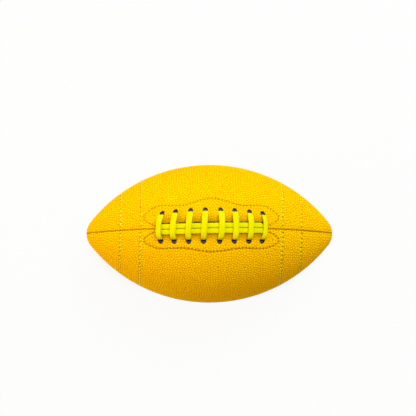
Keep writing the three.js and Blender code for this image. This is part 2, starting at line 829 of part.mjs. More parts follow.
const seams = [
  ['front', 0, slitHalfLength, seamThreadEnd],
  ['back', 0, -seamThreadEnd, -slitHalfLength],
  ['left', quarterTurn, -seamThreadEnd, seamThreadEnd],
  ['right', -quarterTurn, -seamThreadEnd, seamThreadEnd],
  ['base', 2 * quarterTurn, -seamThreadEnd, seamThreadEnd],
];
seams.forEach(([name, phi, from, to]) => {
  addPiece(`thread_seam_${name}`, seamThread(phi, from, to), threadColor, 0.7);
});

const tongue = wallLoft(placesWithin(tongueHalfLength, []), tongueSection, bandFaces(7, 7));
addPiece('tongue', tongue, facingColor, 0.85);
addPiece('lace', sweep(lacePath), laceColor, 0.45);

const bladder = bladderSkin(0).subtract(bladderSkin(bladderThickness));
addPiece('bladder', punchValveHole(bladder, bladderFloor + cutterOverrun), rubberColor, 0.6);
addPiece('valve_body', valveBody(), rubberColor, 0.6);
const valveCore = wallPlug(0, valveAngle, valveCoreRadius, valveRecess + valveCoreRecess, valveBottom, 12);
addPiece('valve_core', valveCore, rubberColor, 0.6);

// The ball stands on the plane z = 0
const standing = new THREE.Box3().setFromObject(group).min.z;
group.children.forEach((mesh) => mesh.geometry.translate(0, 0, -standing));

export default group;
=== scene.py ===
import bpy
import math
import random
import numpy as np
from mathutils import Matrix, Vector, kdtree, noise


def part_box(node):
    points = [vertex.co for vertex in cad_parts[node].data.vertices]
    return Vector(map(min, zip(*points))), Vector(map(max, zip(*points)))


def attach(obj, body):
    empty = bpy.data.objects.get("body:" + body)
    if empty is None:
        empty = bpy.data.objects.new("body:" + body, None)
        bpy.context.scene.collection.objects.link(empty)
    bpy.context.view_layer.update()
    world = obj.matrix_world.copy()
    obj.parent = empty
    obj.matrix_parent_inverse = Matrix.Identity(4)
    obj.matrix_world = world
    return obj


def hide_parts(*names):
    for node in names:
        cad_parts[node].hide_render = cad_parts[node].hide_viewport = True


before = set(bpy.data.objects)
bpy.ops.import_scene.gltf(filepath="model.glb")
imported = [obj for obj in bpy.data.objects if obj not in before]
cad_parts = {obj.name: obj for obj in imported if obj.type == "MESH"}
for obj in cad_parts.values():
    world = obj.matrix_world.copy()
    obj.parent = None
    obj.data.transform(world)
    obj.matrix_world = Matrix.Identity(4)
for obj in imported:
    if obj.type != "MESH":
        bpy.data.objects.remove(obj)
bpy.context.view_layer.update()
print("frame loaded:", len(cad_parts), "solids")

mm = 0.001
quarter = math.pi / 2
farAway = 99.0  # millimetres to something that isn't there
weldDistance = 1e-6
lowSeam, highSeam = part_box("thread_seam_left")

# the blown-up ball, in millimetres: a long arc that runs into a round nose
ball = {
    "length": 254.0, "diameter": 142.0, "noseRadius": 20.5, "tipOpening": 0.35,
    "leastRadius": 0.05, "widestSine": 0.95,
}
halfLength = ball["length"] / 2
noseRadius = ball["noseRadius"]
axisHeight = (lowSeam[2] + highSeam[2]) / 2 / mm
beltRadius = ball["diameter"] / 2
noseCentre = halfLength - noseRadius
arcRadius = (noseCentre**2 + beltRadius**2 - noseRadius**2) / (2 * (beltRadius - noseRadius))
joinAngle = math.asin(noseCentre / (arcRadius - noseRadius))
joinLength = arcRadius * math.sin(joinAngle)
joinArc = arcRadius * joinAngle
tipAngle = math.acos(ball["tipOpening"] / noseRadius)
halfArc = joinArc + noseRadius * (tipAngle - joinAngle)


def leanAt(x):
    reach = np.abs(x)
    sine = np.where(reach < joinLength, reach / arcRadius, (reach - noseCentre) / noseRadius)
    return np.sign(x) * np.arcsin(np.clip(sine, -1, 1))


def radiusAt(x):
    upright = np.cos(leanAt(x))
    return np.where(np.abs(x) < joinLength, beltRadius - arcRadius * (1 - upright), noseRadius * upright)


# place along the ball for a run over the surface from the middle
def placeAlong(run):
    reach = np.abs(run)
    onNose = noseCentre + noseRadius * np.sin(joinAngle + (reach - joinArc) / noseRadius)
    return np.sign(run) * np.where(reach < joinArc, arcRadius * np.sin(reach / arcRadius), onNose)


def placesAlong(reach, cells):
    return placeAlong(np.linspace(-reach * halfArc, reach * halfArc, cells + 1))


# and the run for a place
def runTo(x):
    lean = np.abs(leanAt(x))
    onNose = joinArc + noseRadius * (lean - joinAngle)
    return np.sign(x) * np.where(lean < joinAngle, arcRadius * lean, onNose)


# phi turns from the lacing towards +Y, depth counts inwards from the skin
def onBall(x, phi, depth=0.0):
    x, phi, depth = np.broadcast_arrays(np.asarray(x, float), phi, depth)
    lean = leanAt(x)
    radius = radiusAt(x) - depth * np.cos(lean)
    spot = [x - depth * np.sin(lean), radius * np.sin(phi), axisHeight + radius * np.cos(phi)]
    return np.stack(spot, -1)


def outward(x, phi):
    lean = leanAt(x)
    return np.stack([np.sin(lean), np.cos(lean) * np.sin(phi), np.cos(lean) * np.cos(phi)], -1)


def acrossAt(phi):
    return np.array([0.0, math.cos(phi), -math.sin(phi)])


# the turn that brings a point to an offset from the seam plane
def angleFor(x, offset, depth=0.0):
    radius = radiusAt(x) - depth * np.cos(leanAt(x))
    sine = offset / np.maximum(radius, ball["leastRadius"])
    return np.arcsin(np.clip(sine, -ball["widestSine"], ball["widestSine"]))


def blendTo(low, high, share):
    return low + (high - low) * share


def easeIn(low, high, value):
    share = np.clip((value - low) / (high - low), 0, 1)
    return share * share * (3 - 2 * share)


def bell(distance, width):
    return np.exp(-((distance / width) ** 2))


def unit(rows):
    return rows / np.linalg.norm(rows, axis=-1, keepdims=True)


def lengthsAlong(points):
    return np.concatenate([[0], np.cumsum(np.linalg.norm(np.diff(points, axis=0), axis=1))])


# modelling helpers
def added(operator, **settings):
    bpy.ops.object.select_all(action="DESELECT")
    operator(**settings)
    return bpy.context.object


def activate(piece):
    bpy.ops.object.select_all(action="DESELECT")
    piece.select_set(True)
    bpy.context.view_layer.objects.active = piece


def startEdit():
    bpy.ops.object.mode_set(mode="EDIT")
    bpy.ops.mesh.select_all(action="SELECT")


def faceOutwards():
    bpy.ops.mesh.select_all(action="SELECT")
    bpy.ops.mesh.normals_make_consistent()
    bpy.ops.object.mode_set(mode="OBJECT")


def readPoints(piece):
    flat = np.empty(len(piece.data.vertices) * 3)
    piece.data.vertices.foreach_get("co", flat)
    return flat.reshape(-1, 3) / mm


def writePoints(piece, points):
    piece.data.vertices.foreach_set("co", (points * mm).ravel())
    piece.data.update()


def storeValues(piece, **values):
    for name, row in values.items():
        made = piece.data.attributes.new(name, "FLOAT", "POINT")
        made.data.foreach_set("value", np.asarray(row, np.float32))


def addMesh(name, points, edges, faces):
    mesh = bpy.data.meshes.new(name)
    mesh.from_pydata([tuple(point) for point in np.asarray(points) * mm], edges, faces)
    piece = bpy.data.objects.new(name, mesh)
    bpy.context.collection.objects.link(piece)
    activate(piece)
    return piece


def wrapSheet(name, points):
    # a flat sheet wrapped over the points, closed where its edges meet
    rows, columns = points.shape[:2]
    cells = {"x_subdivisions": rows - 1, "y_subdivisions": columns - 1}
    piece = added(bpy.ops.mesh.primitive_grid_add, size=2, **cells)
    piece.name = piece.data.name = name
    grid = readPoints(piece) * mm  # from -1 to 1 both ways
    row = np.rint((grid[:, 0] + 1) / 2 * (rows - 1)).astype(int)
    column = np.rint((grid[:, 1] + 1) / 2 * (columns - 1)).astype(int)
    writePoints(piece, points[row, column])
    startEdit()
    bpy.ops.mesh.remove_doubles(threshold=weldDistance)
    bpy.ops.mesh.select_all(action="SELECT")
    bpy.ops.mesh.fill_holes(sides=0)
    faceOutwards()
    bpy.ops.object.shade_smooth()
    return piece


def cutWith(piece, cutters):
    cutter = cutters[0]
    activate(cutter)
    for other in cutters[1:]:
        other.select_set(True)
    if len(cutters) > 1:
        bpy.ops.object.join()
    activate(piece)
    cut = piece.modifiers.new("punch", "BOOLEAN")
    cut.operation = "DIFFERENCE"
    cut.solver = "MANIFOLD"
    cut.object = cutter
    bpy.ops.object.modifier_apply(modifier=cut.name)
    bpy.data.objects.remove(cutter)


def standOnSkin(piece, x, phi, depth=0.0):
    axis = Vector(outward(x, phi))
    turn = axis.to_track_quat("Z", "X").to_matrix().to_4x4()
    piece.matrix_world = Matrix.Translation(Vector(onBall(x, phi, depth)) * mm) @ turn
    bpy.ops.object.transform_apply()
    return axis


def addPunch(x, phi, radius, top, bottom, sides, drawn=0.0, lean=0.0):
    # stands on the skin, drawn out away from the slit
    height = (bottom - top) * mm
    punch = added(bpy.ops.mesh.primitive_cylinder_add, vertices=sides, radius=radius * mm, depth=height)
    axis = standOnSkin(punch, x, phi, (top + bottom) / 2)
    if drawn:
        points = readPoints(punch)
        apart = points - onBall(x, phi)
        apart -= np.outer(apart @ np.array(axis), axis)
        away = np.sign(phi) * acrossAt(phi)
        away = away * math.cos(lean) + np.array([1.0, 0.0, 0.0]) * math.sin(lean)
        pull = np.clip(apart @ away / np.linalg.norm(apart, axis=1), 0, 1) ** lacing["holeSharpness"]
        writePoints(punch, points + apart * (drawn * pull)[:, None])
    return punch


def finishPiece(piece, mat, slot, *nodes):
    piece.data.materials.clear()
    piece.data.materials.append(mat)
    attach(piece, "root")
    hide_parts(*nodes)


# material helpers
def srgb(red, green, blue):
    tones = [value / 255 for value in (red, green, blue)]
    return tuple(t / 12.92 if t < 0.04045 else ((t + 0.055) / 1.055) ** 2.4 for t in tones) + (1.0,)


def grey(level):
    return (level, level, level, 1.0)


def startMaterial(name, look):
    mat = bpy.data.materials.new(name)
    mat.use_nodes = True
    for socket, value in look["surface"].items():
        shaderOf(mat).inputs[socket].default_value = value
    return mat


def shaderOf(mat):
    return mat.node_tree.nodes["Principled BSDF"]


def addNode(mat, kind, values=None, **settings):
    made = mat.node_tree.nodes.new(kind)
    for key, value in settings.items():
        setattr(made, key, value)
    for key, value in (values or {}).items():
        if isinstance(value, bpy.types.NodeSocket):
            mat.node_tree.links.new(value, made.inputs[key])
        else:
            made.inputs[key].default_value = value
    return made


def link(mat, source, target):
    mat.node_tree.links.new(source, target)


def valueOf(mat, name):
    return addNode(mat, "ShaderNodeAttribute", attribute_name=name).outputs["Fac"]


def mathOf(mat, kind, first, second):
    return addNode(mat, "ShaderNodeMath", {0: first, 1: second}, operation=kind).outputs[0]


def blendColours(mat, share, first, second, kind="MIX"):
    values = {0: share, 6: first, 7: second}
    return addNode(mat, "ShaderNodeMix", values, data_type="RGBA", blend_type=kind).outputs[2]


def rampOf(mat, share, stops):
    made = addNode(mat, "ShaderNodeValToRGB", {"Fac": share})
    band = made.color_ramp
    while len(band.elements) < len(stops):
        band.elements.new(0.5)
    for element, (place, colour) in zip(band.elements, stops):
        element.position = place
        element.color = grey(colour) if isinstance(colour, float) else colour
    return made.outputs["Color"]


def noiseOf(mat, scale, detail=2.0, coords=None):
    coords = objectCoords(mat) if coords is None else coords
    values = {"Vector": coords, "Scale": scale, "Detail": detail, "Roughness": 0.5}
    return addNode(mat, "ShaderNodeTexNoise", values).outputs["Fac"]


def objectCoords(mat):
    return addNode(mat, "ShaderNodeTexCoord").outputs["Object"]


def sheetCoords(mat, scale):
    uv = addNode(mat, "ShaderNodeTexCoord").outputs["UV"]
    return addNode(mat, "ShaderNodeMapping", {"Vector": uv, "Scale": scale}).outputs["Vector"]


def coat(mat, look, colour, relief, gloss=None):
    inputs = shaderOf(mat).inputs
    link(mat, colour, inputs["Base Color"])
    if "gloss" in look:
        link(mat, rampOf(mat, gloss, look["gloss"]), inputs["Roughness"])
    strength, distance = look["bump"]
    values = {"Height": relief, "Strength": strength, "Distance": distance * mm}
    link(mat, addNode(mat, "ShaderNodeBump", values).outputs["Normal"], inputs["Normal"])
    return mat


# lacing: eight crosses, their holes and the way each cross lies
# 1 is left, -1 right, lists run from -X to +X
lacing = {
    "pitch": 14.9,
    "nudges": [1.0, -0.3, -0.1, 0.0, 1.0, 0.8, 0.9, -0.2],
    "leans": [1.4, 1.5, 2.0, 1.9, 1.2, 0.6, 0.8, 0.9],
    "bows": [-1.9, -1.2, -0.8, -0.2, 1.6, 0.9, 0.8, 1.5],
    "twists": [-0.25, 0.3, 0.22, 0.1, -0.12, -0.2, -0.1, -0.38],
    "spreads": [0.93, 1.0, 1.0, 0.98, 0.97, 1.0, 0.93, 0.78],
    "reach": {1: (18.5, 15.2), -1: (13.3, 12.4)},  # of the holes from the seam: middle, ends
    "holeRadius": {1: 2.6, -1: 2.9},
    "holePoint": {1: [0.3, 0.2, 0.16, 0.14, 0.14, 0.16, 0.2, 0.3], -1: [0.18] * 8},
    "holeLean": {
        1: [0.8, 0.45, 0.3, 0.1, 0.0, -0.2, -0.45, -0.6],
        -1: [0.0, 0.2, 0.1, -0.2, 0.0, 0.3, 0.1, -0.3],
    },
    "holeSharpness": 5,
    "legInset": {1: 1.75, -1: 2.1},
    "slit": {1: 6.0, -1: 3.8},
    "slitDrift": 0.014, "slitNarrowing": 0.45, "slitOpen": 51.5, "slitTaper": 4.0,
}
halfCount = (len(lacing["nudges"]) - 1) / 2
lastCross = halfCount * lacing["pitch"]
crossPlaces = [(i - halfCount) * lacing["pitch"] + nudge for i, nudge in enumerate(lacing["nudges"])]
slitEnd = lacing["slitOpen"] + lacing["slitTaper"]


def holePlace(index, sign):
    return crossPlaces[index] + 0.5 * sign * lacing["leans"][index]


def holeReach(x, sign):
    middle, end = lacing["reach"][sign]
    return blendTo(middle, end, (x / lastCross) ** 2)


def holeSpots(sign, inset=0.0):
    places = [holePlace(i, sign) for i in range(len(crossPlaces))]
    return [(x, sign * float(angleFor(x, holeReach(x, sign) - inset))) for x in places]


# sewn rows: an outline round each facing, four stripes on each lace panel
sewing = {
    "pitch": 4.9,
    "facingPitch": 3.7, "facingDepth": 0.2, "facingFatness": 0.62,
    "stripes": [-92.1, -71.5, 72.4, 92.5],
    "stripeLean": 0.022, "stripeSlip": 0.65, "stripeReturn": 0.6, "stripeDepth": 0.15, "stripeFatness": 1.3,
    "seamMargin": 3.6,
    "shoulder": {1: 23.7, -1: 20.2},
    "crest": {1: 30.8, -1: 24.1},
    "endReach": 11.5, "halfLength": 68.9,
    "outlineSteps": 24, "stripeSteps": 60,
}


def throughPoints(corners, steps):
    padded = [2 * corners[0] - corners[1], *corners, 2 * corners[-1] - corners[-2]]
    line = []
    for a, b, c, d in zip(padded, padded[1:], padded[2:], padded[3:]):
        for t in np.linspace(0, 1, steps, endpoint=False):
            bend = 2 * b + (c - a) * t + (2 * a - 5 * b + 4 * c - d) * t**2 + (3 * b - a - 3 * c + d) * t**3
            line.append(0.5 * bend)
    return np.array(line + [corners[-1]])


def spaceOut(x, phi, pitch):
    # needle holes at even steps along a line
    run = lengthsAlong(onBall(x, phi))
    count = max(2, round(run[-1] / pitch))
    stops = np.linspace(0, run[-1], count + 1)
    return np.stack([np.interp(stops, run, x), np.interp(stops, run, phi)], -1)


def facingKnots(sign):
    shoulder, crest = sewing["shoulder"][sign], sewing["crest"][sign]
    end, endReach = sewing["halfLength"], sewing["endReach"]
    # half an outline: place, reach from the seam
    half = [
        (0.82 * end, 3.0), (0.885 * end, 4.5), (end - 3.6, 0.62 * endReach), (end, endReach),
        (end - 4, 0.5 * (endReach + shoulder)), (0.76 * end, shoulder), (0.42 * end, shoulder),
    ]
    corners = [(-x, reach) for x, reach in half] + [(0.0, crest)] + half[::-1]
    line = throughPoints([np.array(corner) for corner in corners], sewing["outlineSteps"])
    return spaceOut(line[:, 0], sign * angleFor(line[:, 0], line[:, 1]), sewing["facingPitch"])


def stripeKnots(place, sign):
    edge = angleFor(place, sewing["seamMargin"])
    phi = np.linspace(edge, quarter - edge, sewing["stripeSteps"])
    x = place + sign * sewing["stripeLean"] * radiusAt(place) * np.sin(phi)
    return spaceOut(x, sign * phi, sewing["pitch"])


def slipped(knots, slip):
    # towards the nearer tip
    return knots + np.stack([np.sign(knots[:, 0]) * slip, np.zeros(len(knots))], -1)


facingRows = {sign: facingKnots(sign) for sign in (1, -1)}
stripeRows = {sign: [stripeKnots(place, sign) for place in sewing["stripes"]] for sign in (1, -1)}
print("rows marked out:", 2 * len(sewing["stripes"]), "stripes")

# cover: four leather panels with rolled edges, flanges and a pebbled grain
cover = {
    "thickness": 2.2, "gap": 0.1, "shoulder": 1.15, "tipShare": 0.12,
    "flangeDepth": 5.0, "flangeThickness": 2.2, "flangeFade": 9.0,
    "lipRounding": 1.1, "lipDepth": 2.7, "lipThickness": 1.2,
    "cellsAlong": 452, "cellsAcross": 156, "cellsInside": 16, "rimSteps": 7,
    "punch": (-3, 9, 36),  # top, bottom, sides
    "skinDepth": (0.05, 1.1),
    "pebbleSeed": 11, "pebblePitch": 3.0, "pebbleRow": 0.87, "pebbleNeighbours": 6,
    "pebbleReach": 1.05, "pebblePush": 0.3, "pebblePushes": 12,
    "pebbleHeight": 0.42, "pebbleSpread": 0.3, "domeShare": 0.6,
    "valleyDepth": 0.6, "valleyWidth": 3.4, "tipFade": 14.0,
    "puckerDepth": 0.26, "puckerWidth": 1.9, "seamPitch": 3.1,
    "rowDepth": 0.3, "rowWidth": 1.0, "rowPressed": 0.75,
    "needleDepth": 0.55, "needleWidth": 0.75, "sewnDepth": 1.0,
    "holeRim": 0.7, "holeFade": 1.1, "holePressed": 0.6,
}

# painted shade, stains and wear on the cover
wearAndShade = {
    # edgeDepth darkens deep vertices in gaps, rims and hole walls: painted shade
    "edgeDepth": (0.1, 1.6),
    "seam": (0.45, 0.7), "seamRun": (20, 90), "seamWidth": 1.25,  # rises towards +X: painted shade on the shaded side
    "stitchEven": 0.68, "stitchBeat": 0.32,
    # needle holes painted dark: painted shade in the holes, stronger on the right rows, which lie in shade
    "needlePlaces": [-90, -62, -40, 40, 62, 90],
    "needle": {1: [0.6, 0.6, 0.75, 0.75, 0.65, 0.75], -1: [0.7, 0.6, 1.45, 1.45, 0.9, 1.35]},
    "needleWidth": 0.85,
    # lace-hole walls painted dark navy: painted shade in the holes
    "punchedEdge": 0.12, "punchedDepth": 0.25,
    "lipRun": 0.93, "lipWidth": 0.9,
    # darker orange beside the slit: painted shade of the lacing mixed with rubbed wear
    "rubbed": 0.6, "rubbedFrom": 6.5, "rubbedWidth": 5.5, "rubbedRun": (50, 60),
}


def lipReach(x, slit):
    # from the seam plane to the lip, least at the slit's ends
    return slit + lacing["slitDrift"] * x - lacing["slitNarrowing"] * (x / slitEnd) ** 2


def panelEdge(x, slit):
    # gap to the seam, rolled rim, depth and thickness of the flange
    tip = cover["tipShare"] * radiusAt(x)
    plain = [
        np.full_like(x, cover["gap"]), np.minimum(cover["shoulder"], tip),
        np.full_like(x, cover["flangeDepth"]), np.minimum(cover["flangeThickness"], tip),
    ]
    if not slit:
        return plain
    share = easeIn(0, 1, (slitEnd - np.abs(x)) / lacing["slitTaper"])
    lip = [lipReach(x, slit), cover["lipRounding"], cover["lipDepth"], cover["lipThickness"]]
    return [blendTo(first, second, share) for first, second in zip(plain, lip)]


def panelPoints(start, sign, slit):
    x = placesAlong(1, cover["cellsAlong"])
    edges = [panelEdge(x, slit), panelEdge(x, 0)]
    tipDepth = np.minimum(1, radiusAt(x) / cover["flangeFade"])  # the flanges run out at the tips
    inside = cover["thickness"] * tipDepth

    def stop(edge, offset, depth):
        turn = angleFor(x, offset, depth)
        return (turn if edge == 0 else quarter - turn, depth)

    def flank(edge):
        gap, shoulder, depth, thickness = edges[edge]
        low = shoulder + (depth - shoulder) * tipDepth
        line = [stop(edge, gap, blendTo(low, shoulder, share)) for share in (0, 0.35, 0.7)]
        for turn in np.linspace(quarter, 0, cover["rimSteps"]):
            rim = shoulder * (1 - math.cos(turn))
            line.append(stop(edge, gap + shoulder * (1 - math.sin(turn)), rim))
        low = np.maximum(low, inside)
        return line, [stop(edge, gap + thickness, low), stop(edge, gap + thickness, inside)]

    def between(first, last, cells, depth):
        shares = np.linspace(0, 1, cells + 1)[1:-1]
        return [(blendTo(first[0], last[0], share), depth) for share in shares]

    nearRim, nearFlange = flank(0)
    farRim, farFlange = flank(1)
    line = nearRim + between(nearRim[-1], farRim[-1], cover["cellsAcross"], 0.0) + farRim[::-1]
    line += farFlange + between(farFlange[-1], nearFlange[-1], cover["cellsInside"], inside)
    line += nearFlange[::-1]
    line.append(line[0])
    return np.stack([onBall(x, start + sign * turn, depth) for turn, depth in line], 1)


def treeOf(points):
    tree = kdtree.KDTree(len(points))
    for index, point in enumerate(points):
        tree.insert(point, index)
    tree.balance()
    return tree


def pebbleTree():
    # strewn round the ball, then pushed apart until they lie evenly
    dice = random.Random(cover["pebbleSeed"])
    pitch = cover["pebblePitch"]
    spots = []
    for run in np.arange(-halfArc, halfArc, cover["pebbleRow"] * pitch):
        count = max(3, round(2 * math.pi * float(radiusAt(placeAlong(run))) / pitch))
        for k in range(count):
            slip = np.clip(run + dice.uniform(-0.5, 0.5) * pitch, -halfArc, halfArc)
            spots.append((float(placeAlong(slip)), (k + dice.random()) / count * 2 * math.pi))
    points = onBall(*np.array(spots).T)
    for push in range(cover["pebblePushes"]):
        tree = treeOf(points)
        near = [tree.find_n(point, 1 + cover["pebbleNeighbours"])[1:] for point in points]
        near = np.array([[found[1:] for found in others] for others in near])
        which, away = near[:, :, 0].astype(int), near[:, :, 1]
        share = np.clip(cover["pebbleReach"] * pitch - away, 0, None) / np.maximum(away, 0.1)
        moves = (share[:, :, None] * (points[:, None, :] - points[which])).sum(axis=1)
        points = points + cover["pebblePush"] * moves
        x = np.clip(points[:, 0], -halfLength, halfLength)
        points = onBall(x, np.arctan2(points[:, 1], points[:, 2] - axisHeight))
    return treeOf(points), np.array([dice.random() for spot in spots])


def nearestTo(points, marks):
    tree = treeOf(marks)
    return np.array([tree.find(point)[2] for point in points])


def lineMarks(knots, step=0.4):
    marks = []
    for a, b in zip(knots, knots[1:]):
        for share in np.arange(0, 1, step / sewing["pitch"]):
            marks.append(onBall(*blendTo(a, b, share)))
    return np.array(marks)


pebbles, pebbleTones = pebbleTree()


def sculptCover(piece, sign, slit, holes, holeRadius, rows):
    # grain, seam valleys, sunk rows, needle holes and drawn-in lace holes
    points = readPoints(piece)
    x = np.clip(points[:, 0], -halfLength, halfLength)
    side = points[:, 2] - axisHeight
    phi = np.arctan2(points[:, 1], side)
    radius = np.hypot(points[:, 1], side)
    across = np.abs(radius * np.sin(phi))
    depth = (radiusAt(x) - radius) * np.cos(leanAt(x))
    skin = 1 - easeIn(*cover["skinDepth"], depth)

    near = [pebbles.find_n(point, 2) for point in points]
    first, second, index = np.array([(a[2], b[2], a[1]) for a, b in near]).T
    tone = pebbleTones[index.astype(int)]
    dome = easeIn(0.0, cover["domeShare"], (second - first) / cover["pebblePitch"])

    # seams: a valley, and puckers along the run
    fromSeam = np.minimum(across, np.abs(radius * np.cos(phi)))
    atSlit = (np.abs(x) < slitEnd) & (np.abs(phi) < quarter / 2) & bool(slit)
    drawnIn = np.cos(2 * math.pi * runTo(x) / cover["seamPitch"])
    valley = np.where(atSlit, 0.0, bell(fromSeam, cover["valleyWidth"]))
    pucker = np.where(atSlit, 0.0, bell(fromSeam, cover["puckerWidth"]) * drawnIn)
    fade = np.clip(radiusAt(x) / cover["tipFade"], 0, 1)

    fromRow, fromNeedle, fromHole = np.full((3, len(points)), farAway)
    if rows:
        outer = depth < cover["sewnDepth"]
        fromRow[outer] = nearestTo(points[outer], np.concatenate([lineMarks(row) for row in rows]))
        needles = np.concatenate([onBall(row[:, 0], row[:, 1]) for row in rows])
        fromNeedle[outer] = nearestTo(points[outer], needles)
    if holes:
        centres = np.array([onBall(*hole) for hole in holes])
        fromHole = np.linalg.norm(points[:, None, :] - centres[None], axis=2).min(axis=1)
    sunk = bell(fromRow, cover["rowWidth"])
    pricked = bell(fromNeedle, cover["needleWidth"])
    rim = np.exp(-np.clip(fromHole - holeRadius, 0, farAway) / cover["holeFade"])

    spread = 1 + cover["pebbleSpread"] * (tone - 0.5)
    pressed = (1 - cover["rowPressed"] * sunk) * (1 - cover["holePressed"] * rim)
    height = cover["pebbleHeight"] * (dome - 0.5) * spread * pressed
    height = height - cover["valleyDepth"] * valley * fade - cover["puckerDepth"] * pucker * fade
    height = height - cover["rowDepth"] * sunk - cover["needleDepth"] * pricked - cover["holeRim"] * rim
    moved = points + outward(x, phi) * (height * skin)[:, None]
    moved[:, 2] = np.maximum(moved[:, 2], 0.0)  # it rests on a small flat
    writePoints(piece, moved)

    # the seam's dark joint, darker towards +X as painted shade, beating with the stitches
    seamSoilAndShade = blendTo(*wearAndShade["seam"], easeIn(*wearAndShade["seamRun"], x))
    seamSoilAndShade *= np.where(atSlit, 0, bell(fromSeam, wearAndShade["seamWidth"]))
    # deep vertices in gaps, under the lip and on hole walls darken: painted shade
    soil = np.maximum(easeIn(*wearAndShade["edgeDepth"], depth), seamSoilAndShade)
    soil *= np.where(atSlit, 1, wearAndShade["stitchEven"] + wearAndShade["stitchBeat"] * drawnIn)
    # painted shade in the needle holes, stronger on the shaded right side
    needle = np.interp(x, wearAndShade["needlePlaces"], wearAndShade["needle"][sign]) * bell(fromNeedle, wearAndShade["needleWidth"])
    # walls of the lace holes take a dark navy colour: painted shade
    punched = (fromHole < holeRadius + wearAndShade["punchedEdge"]) & (depth > wearAndShade["punchedDepth"])
    lip, rubbed = np.zeros((2, len(points)))
    if slit:
        torn = atSlit & (np.abs(x) < wearAndShade["lipRun"] * lacing["slitOpen"])
        lip = np.where(torn, bell(np.abs(across - lipReach(x, slit)), wearAndShade["lipWidth"]), 0)
        # painted shade of the lacing, and wear from hands, deepen the colour beside the slit
        beside = bell(np.clip(across - wearAndShade["rubbedFrom"], 0, farAway), wearAndShade["rubbedWidth"])
        rubbed = wearAndShade["rubbed"] * beside * (1 - easeIn(*wearAndShade["rubbedRun"], np.abs(x)))
    storeValues(piece, dome=dome * skin, tone=tone, soil=soil, needle=np.clip(needle, 0, 1))
    storeValues(piece, punched=punched, lip=lip, rubbed=rubbed)


leatherLook = {
    "surface": {
        "Roughness": 0.55, "Specular IOR Level": 0.25, "IOR": 1.06, "Specular Tint": (1.0, 0.7, 0.02, 1.0),
    },
    "gloss": [(0.3, 0.48), (0.7, 0.66)],
    "bump": (0.25, 0.2),  # strength, height in millimetres
    "tops": (srgb(250, 204, 0), srgb(253, 209, 0)),
    # creases: partly the grain's own darker tone, partly painted shade in the creases
    "creases": (srgb(214, 138, 0), srgb(222, 146, 0)),
    "doming": [(0.0, 0.0), (0.45, 0.75), (0.9, 1.0)],
    "tints": [(0.0, srgb(248, 245, 242)), (1.0, 1.0)],
    "flecks": [(0.35, srgb(248, 244, 238)), (0.62, 1.0)],
    "soiling": [(0.05, 0.0), (0.9, 1.0)],
    "tearing": [(0.54, 0.0), (0.58, 1.0)],
    # soil colour: painted shade in gaps and deep edges, and the seam's dark joint
    "rubbed": srgb(166, 110, 0), "soil": srgb(120, 66, 4), "torn": srgb(250, 226, 180),
    # needle and punched colours: painted shade in needle holes and on lace-hole walls
    "needle": srgb(104, 60, 0), "punched": srgb(46, 44, 64),
    "driftScale": 14.0, "speckScale": 900.0, "tearScale": 620.0,
}


def leatherMaterial(look):
    mat = startMaterial("pebbled_leather", look)
    drift = noiseOf(mat, look["driftScale"], 3.0)
    speck = noiseOf(mat, look["speckScale"])
    top = blendColours(mat, drift, *look["tops"])
    crease = blendColours(mat, drift, *look["creases"])
    # creases darker than domes: the grain's tone plus painted crease shade
    dome = rampOf(mat, valueOf(mat, "dome"), look["doming"])
    colour = blendColours(mat, dome, crease, top)
    for share, stops in ((valueOf(mat, "tone"), look["tints"]), (speck, look["flecks"])):
        colour = blendColours(mat, 1.0, colour, rampOf(mat, share, stops), "MULTIPLY")
    # painted shade, wear and torn flecks, one coat over the other
    soil = rampOf(mat, valueOf(mat, "soil"), look["soiling"])
    tears = noiseOf(mat, look["tearScale"], 1.0)
    torn = rampOf(mat, mathOf(mat, "MULTIPLY", tears, valueOf(mat, "lip")), look["tearing"])
    shares = {"soil": soil, "torn": torn}
    for stain in ("rubbed", "soil", "torn", "needle", "punched"):
        share = shares[stain] if stain in shares else valueOf(mat, stain)
        colour = blendColours(mat, share, colour, look[stain])
    return coat(mat, look, colour, speck, speck)


valve = {
    "panel": "base_right", "angle": -1.5 * quarter,
    "stem": 3.2, "clearance": 0.3, "punch": (1, 12, 24), "sharpAngle": 0.7,
}
stemHole = valve["stem"] + valve["clearance"]


def holesIn(name, sign, slit):
    # eight lace holes in each lace panel, one hole for the valve stem
    if name == valve["panel"]:
        return [(0.0, valve["angle"])], stemHole
    return (holeSpots(sign) if slit else []), lacing["holeRadius"][sign]


leather = leatherMaterial(leatherLook)
panels = [
    ("lace_left", 0.0, 1, lacing["slit"][1]),
    ("lace_right", 0.0, -1, lacing["slit"][-1]),
    ("base_left", quarter, 1, 0),
    ("base_right", -quarter, -1, 0),
]
for name, start, sign, slit in panels:
    piece = wrapSheet("cover_" + name, panelPoints(start, sign, slit))
    holes, holeRadius = holesIn(name, sign, slit)
    rows, pulls = [], [(0.0, 0.0)]
    if slit:
        rows = [facingRows[sign], *[slipped(row, sewing["stripeSlip"]) for row in stripeRows[sign]]]
        pulls = list(zip(lacing["holePoint"][sign], lacing["holeLean"][sign]))
    if holes:
        punches = [addPunch(*hole, holeRadius, *cover["punch"], *pull) for hole, pull in zip(holes, pulls)]
        cutWith(piece, punches)
    sculptCover(piece, sign, slit, holes, holeRadius, rows)
    finishPiece(piece, leather, "cover", "panel_" + name)
    print("panel", piece.name, len(piece.data.polygons), "faces")


# layers under the cover
def layerPoints(x, low, high, layer):
    # closed band between two angles
    shares = np.linspace(0, 1, layer["cellsAcross"] + 1)
    line = [(blendTo(low, high, share), layer["top"]) for share in shares]
    line += [(blendTo(low, high, share), layer["bottom"]) for share in shares[::-1]]
    line.append(line[0])
    return np.stack([onBall(x, phi, depth) for phi, depth in line], 1)


